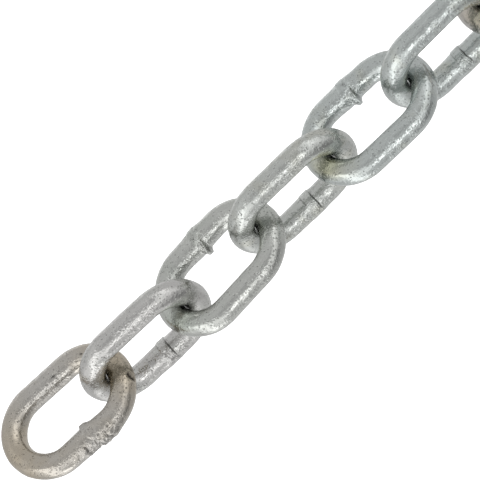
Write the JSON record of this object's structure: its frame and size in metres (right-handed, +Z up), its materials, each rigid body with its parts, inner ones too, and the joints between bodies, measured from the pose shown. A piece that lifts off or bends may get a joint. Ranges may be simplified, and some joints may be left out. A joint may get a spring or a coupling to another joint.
{
  "type": "welded steel chain length",
  "caption": "Length of round-wire oval-link welded chain, zinc plated, laid out straight with its links turned a quarter turn.",
  "frame": {"origin": "middle of the chain's box, on the floor that it lies on", "axes": "+X along the chain towards the last link, +Y across it to the left, +Z up"},
  "size_m": [1.0076, 0.0212, 0.0206],
  "materials": {
    "zinc_plated_steel": "bright zinc plating with fine pits and scratches"
  },
  "bodies": {
    "link_01": {"link_01": "zinc_plated_steel"},
    "link_02": {"link_02": "zinc_plated_steel"},
    "link_03": {"link_03": "zinc_plated_steel"},
    "link_04": {"link_04": "zinc_plated_steel"},
    "link_05": {"link_05": "zinc_plated_steel"},
    "link_06": {"link_06": "zinc_plated_steel"},
    "link_07": {"link_07": "zinc_plated_steel"},
    "link_08": {"link_08": "zinc_plated_steel"},
    "link_09": {"link_09": "zinc_plated_steel"},
    "link_10": {"link_10": "zinc_plated_steel"},
    "link_11": {"link_11": "zinc_plated_steel"},
    "link_12": {"link_12": "zinc_plated_steel"},
    "link_13": {"link_13": "zinc_plated_steel"},
    "link_14": {"link_14": "zinc_plated_steel"},
    "link_15": {"link_15": "zinc_plated_steel"},
    "link_16": {"link_16": "zinc_plated_steel"},
    "link_17": {"link_17": "zinc_plated_steel"},
    "link_18": {"link_18": "zinc_plated_steel"},
    "link_19": {"link_19": "zinc_plated_steel"},
    "link_20": {"link_20": "zinc_plated_steel"},
    "link_21": {"link_21": "zinc_plated_steel"},
    "link_22": {"link_22": "zinc_plated_steel"},
    "link_23": {"link_23": "zinc_plated_steel"},
    "link_24": {"link_24": "zinc_plated_steel"},
    "link_25": {"link_25": "zinc_plated_steel"},
    "link_26": {"link_26": "zinc_plated_steel"},
    "link_27": {"link_27": "zinc_plated_steel"},
    "link_28": {"link_28": "zinc_plated_steel"},
    "link_29": {"link_29": "zinc_plated_steel"},
    "link_30": {"link_30": "zinc_plated_steel"},
    "link_31": {"link_31": "zinc_plated_steel"},
    "link_32": {"link_32": "zinc_plated_steel"},
    "link_33": {"link_33": "zinc_plated_steel"},
    "link_34": {"link_34": "zinc_plated_steel"},
    "link_35": {"link_35": "zinc_plated_steel"},
    "link_36": {"link_36": "zinc_plated_steel"},
    "link_37": {"link_37": "zinc_plated_steel"},
    "link_38": {"link_38": "zinc_plated_steel"},
    "link_39": {"link_39": "zinc_plated_steel"},
    "link_40": {"link_40": "zinc_plated_steel"},
    "link_41": {"link_41": "zinc_plated_steel"},
    "link_42": {"link_42": "zinc_plated_steel"}
  },
  "joints": [
    {"name": "link_02_to_link_01", "type": "hinge", "parent": "link_02", "child": "link_01", "pos_m": [-0.47066, -0.00026, 0.01048], "axis": [-0.0261, -0.7128, 0.7009], "range_deg": [-105, 105]},
    {"name": "link_03_to_link_02", "type": "hinge", "parent": "link_03", "child": "link_02", "pos_m": [-0.44697, -0.00072, 0.01048], "axis": [-0.0135, -0.702, -0.712], "range_deg": [-105, 105]},
    {"name": "link_04_to_link_03", "type": "hinge", "parent": "link_04", "child": "link_03", "pos_m": [-0.4233, 0.00056, 0.01048], "axis": [0.0366, -0.6759, 0.7361], "range_deg": [-105, 105]},
    {"name": "link_05_to_link_04", "type": "hinge", "parent": "link_05", "child": "link_04", "pos_m": [-0.3996, 0.00052, 0.01048], "axis": [0.0012, 0.6717, 0.7408], "range_deg": [-105, 105]},
    {"name": "link_06_to_link_05", "type": "hinge", "parent": "link_06", "child": "link_05", "pos_m": [-0.3759, 0.00027, 0.01048], "axis": [0.0071, 0.6743, -0.7385], "range_deg": [-105, 105]},
    {"name": "link_07_to_link_06", "type": "hinge", "parent": "link_07", "child": "link_06", "pos_m": [-0.35221, 0.0006, 0.01048], "axis": [0.01, -0.7144, -0.6997], "range_deg": [-105, 105]},
    {"name": "link_08_to_link_07", "type": "hinge", "parent": "link_08", "child": "link_07", "pos_m": [-0.32852, -0.00026, 0.01048], "axis": [-0.0261, -0.7128, 0.7009], "range_deg": [-105, 105]},
    {"name": "link_09_to_link_08", "type": "hinge", "parent": "link_09", "child": "link_08", "pos_m": [-0.30483, -0.00072, 0.01048], "axis": [0.0135, 0.702, 0.712], "range_deg": [-105, 105]},
    {"name": "link_10_to_link_09", "type": "hinge", "parent": "link_10", "child": "link_09", "pos_m": [-0.28116, 0.00056, 0.01048], "axis": [-0.0366, 0.6759, -0.7361], "range_deg": [-105, 105]},
    {"name": "link_11_to_link_10", "type": "hinge", "parent": "link_11", "child": "link_10", "pos_m": [-0.25746, 0.00052, 0.01048], "axis": [-0.0012, -0.6717, -0.7408], "range_deg": [-105, 105]},
    {"name": "link_12_to_link_11", "type": "hinge", "parent": "link_12", "child": "link_11", "pos_m": [-0.23376, 0.00027, 0.01048], "axis": [-0.0071, -0.6743, 0.7385], "range_deg": [-105, 105]},
    {"name": "link_13_to_link_12", "type": "hinge", "parent": "link_13", "child": "link_12", "pos_m": [-0.21007, 0.0006, 0.01048], "axis": [-0.01, 0.7144, 0.6997], "range_deg": [-105, 105]},
    {"name": "link_14_to_link_13", "type": "hinge", "parent": "link_14", "child": "link_13", "pos_m": [-0.18638, -0.00026, 0.01048], "axis": [0.0261, 0.7128, -0.7009], "range_deg": [-105, 105]},
    {"name": "link_15_to_link_14", "type": "hinge", "parent": "link_15", "child": "link_14", "pos_m": [-0.16268, -0.00072, 0.01048], "axis": [-0.0135, -0.702, -0.712], "range_deg": [-105, 105]},
    {"name": "link_16_to_link_15", "type": "hinge", "parent": "link_16", "child": "link_15", "pos_m": [-0.13902, 0.00056, 0.01048], "axis": [0.0366, -0.6759, 0.7361], "range_deg": [-105, 105]},
    {"name": "link_17_to_link_16", "type": "hinge", "parent": "link_17", "child": "link_16", "pos_m": [-0.11532, 0.00052, 0.01048], "axis": [0.0012, 0.6717, 0.7408], "range_deg": [-105, 105]},
    {"name": "link_18_to_link_17", "type": "hinge", "parent": "link_18", "child": "link_17", "pos_m": [-0.09162, 0.00027, 0.01048], "axis": [0.0071, 0.6743, -0.7385], "range_deg": [-105, 105]},
    {"name": "link_19_to_link_18", "type": "hinge", "parent": "link_19", "child": "link_18", "pos_m": [-0.06792, 0.0006, 0.01048], "axis": [0.01, -0.7144, -0.6997], "range_deg": [-105, 105]},
    {"name": "link_20_to_link_19", "type": "hinge", "parent": "link_20", "child": "link_19", "pos_m": [-0.04424, -0.00026, 0.01048], "axis": [-0.0261, -0.7128, 0.7009], "range_deg": [-105, 105]},
    {"name": "link_21_to_link_20", "type": "hinge", "parent": "link_21", "child": "link_20", "pos_m": [-0.02054, -0.00072, 0.01048], "axis": [0.0135, 0.702, 0.712], "range_deg": [-105, 105]},
    {"name": "link_21_to_link_22", "type": "hinge", "parent": "link_21", "child": "link_22", "pos_m": [0.00312, 0.00056, 0.01048], "axis": [0.0366, -0.6759, 0.7361], "range_deg": [-105, 105]},
    {"name": "link_22_to_link_23", "type": "hinge", "parent": "link_22", "child": "link_23", "pos_m": [0.02682, 0.00052, 0.01048], "axis": [0.0012, 0.6717, 0.7408], "range_deg": [-105, 105]},
    {"name": "link_23_to_link_24", "type": "hinge", "parent": "link_23", "child": "link_24", "pos_m": [0.05052, 0.00027, 0.01048], "axis": [0.0071, 0.6743, -0.7385], "range_deg": [-105, 105]},
    {"name": "link_24_to_link_25", "type": "hinge", "parent": "link_24", "child": "link_25", "pos_m": [0.07422, 0.0006, 0.01048], "axis": [0.01, -0.7144, -0.6997], "range_deg": [-105, 105]},
    {"name": "link_25_to_link_26", "type": "hinge", "parent": "link_25", "child": "link_26", "pos_m": [0.0979, -0.00026, 0.01048], "axis": [-0.0261, -0.7128, 0.7009], "range_deg": [-105, 105]},
    {"name": "link_26_to_link_27", "type": "hinge", "parent": "link_26", "child": "link_27", "pos_m": [0.1216, -0.00072, 0.01048], "axis": [0.0135, 0.702, 0.712], "range_deg": [-105, 105]},
    {"name": "link_27_to_link_28", "type": "hinge", "parent": "link_27", "child": "link_28", "pos_m": [0.14526, 0.00056, 0.01048], "axis": [-0.0366, 0.6759, -0.7361], "range_deg": [-105, 105]},
    {"name": "link_28_to_link_29", "type": "hinge", "parent": "link_28", "child": "link_29", "pos_m": [0.16896, 0.00052, 0.01048], "axis": [-0.0012, -0.6717, -0.7408], "range_deg": [-105, 105]},
    {"name": "link_29_to_link_30", "type": "hinge", "parent": "link_29", "child": "link_30", "pos_m": [0.19266, 0.00027, 0.01048], "axis": [-0.0071, -0.6743, 0.7385], "range_deg": [-105, 105]},
    {"name": "link_30_to_link_31", "type": "hinge", "parent": "link_30", "child": "link_31", "pos_m": [0.21636, 0.0006, 0.01048], "axis": [-0.01, 0.7144, 0.6997], "range_deg": [-105, 105]},
    {"name": "link_31_to_link_32", "type": "hinge", "parent": "link_31", "child": "link_32", "pos_m": [0.24004, -0.00027, 0.01048], "axis": [0.0261, 0.7128, -0.7009], "range_deg": [-105, 105]},
    {"name": "link_32_to_link_33", "type": "hinge", "parent": "link_32", "child": "link_33", "pos_m": [0.26374, -0.00072, 0.01048], "axis": [-0.0135, -0.702, -0.712], "range_deg": [-105, 105]},
    {"name": "link_33_to_link_34", "type": "hinge", "parent": "link_33", "child": "link_34", "pos_m": [0.2874, 0.00056, 0.01048], "axis": [0.0366, -0.6759, 0.7361], "range_deg": [-105, 105]},
    {"name": "link_34_to_link_35", "type": "hinge", "parent": "link_34", "child": "link_35", "pos_m": [0.3111, 0.00052, 0.01048], "axis": [0.0012, 0.6717, 0.7408], "range_deg": [-105, 105]},
    {"name": "link_35_to_link_36", "type": "hinge", "parent": "link_35", "child": "link_36", "pos_m": [0.3348, 0.00027, 0.01048], "axis": [0.0071, 0.6743, -0.7385], "range_deg": [-105, 105]},
    {"name": "link_36_to_link_37", "type": "hinge", "parent": "link_36", "child": "link_37", "pos_m": [0.3585, 0.0006, 0.01048], "axis": [0.01, -0.7144, -0.6997], "range_deg": [-105, 105]},
    {"name": "link_37_to_link_38", "type": "hinge", "parent": "link_37", "child": "link_38", "pos_m": [0.38218, -0.00027, 0.01048], "axis": [-0.0261, -0.7128, 0.7009], "range_deg": [-105, 105]},
    {"name": "link_38_to_link_39", "type": "hinge", "parent": "link_38", "child": "link_39", "pos_m": [0.40588, -0.00072, 0.01048], "axis": [0.0135, 0.702, 0.712], "range_deg": [-105, 105]},
    {"name": "link_39_to_link_40", "type": "hinge", "parent": "link_39", "child": "link_40", "pos_m": [0.42955, 0.00056, 0.01048], "axis": [-0.0366, 0.6759, -0.7361], "range_deg": [-105, 105]},
    {"name": "link_40_to_link_41", "type": "hinge", "parent": "link_40", "child": "link_41", "pos_m": [0.45325, 0.00052, 0.01048], "axis": [-0.0012, -0.6717, -0.7408], "range_deg": [-105, 105]},
    {"name": "link_41_to_link_42", "type": "hinge", "parent": "link_41", "child": "link_42", "pos_m": [0.47694, 0.00027, 0.01048], "axis": [-0.0071, -0.6743, 0.7385], "range_deg": [-105, 105]}
  ]
}
